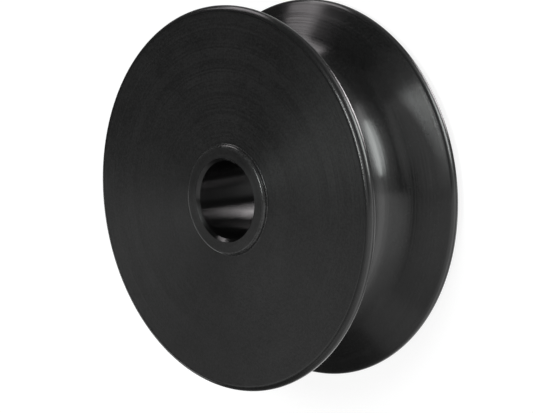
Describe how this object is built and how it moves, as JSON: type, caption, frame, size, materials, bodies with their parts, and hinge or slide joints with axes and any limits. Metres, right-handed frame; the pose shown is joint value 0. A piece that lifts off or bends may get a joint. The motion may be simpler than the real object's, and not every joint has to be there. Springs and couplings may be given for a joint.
{
  "type": "wire rope sheave",
  "caption": "Turned black plastic sheave for wire rope, with a wide rounded groove between flat flanges and a plain bore through raised hub bosses.",
  "frame": {"origin": "on the bore axis, midway between the two flange faces, in the plane that the rope runs in", "axes": "+Z along the bore axis, out of the upper hub face; the sheave is alike on both sides and all round, so X and Y may point anywhere"},
  "size_m": [0.125, 0.125, 0.045],
  "materials": {
    "nylon": "satin, with fine turning marks"
  },
  "bodies": {
    "root": {"sheave": "nylon"}
  },
  "joints": []
}
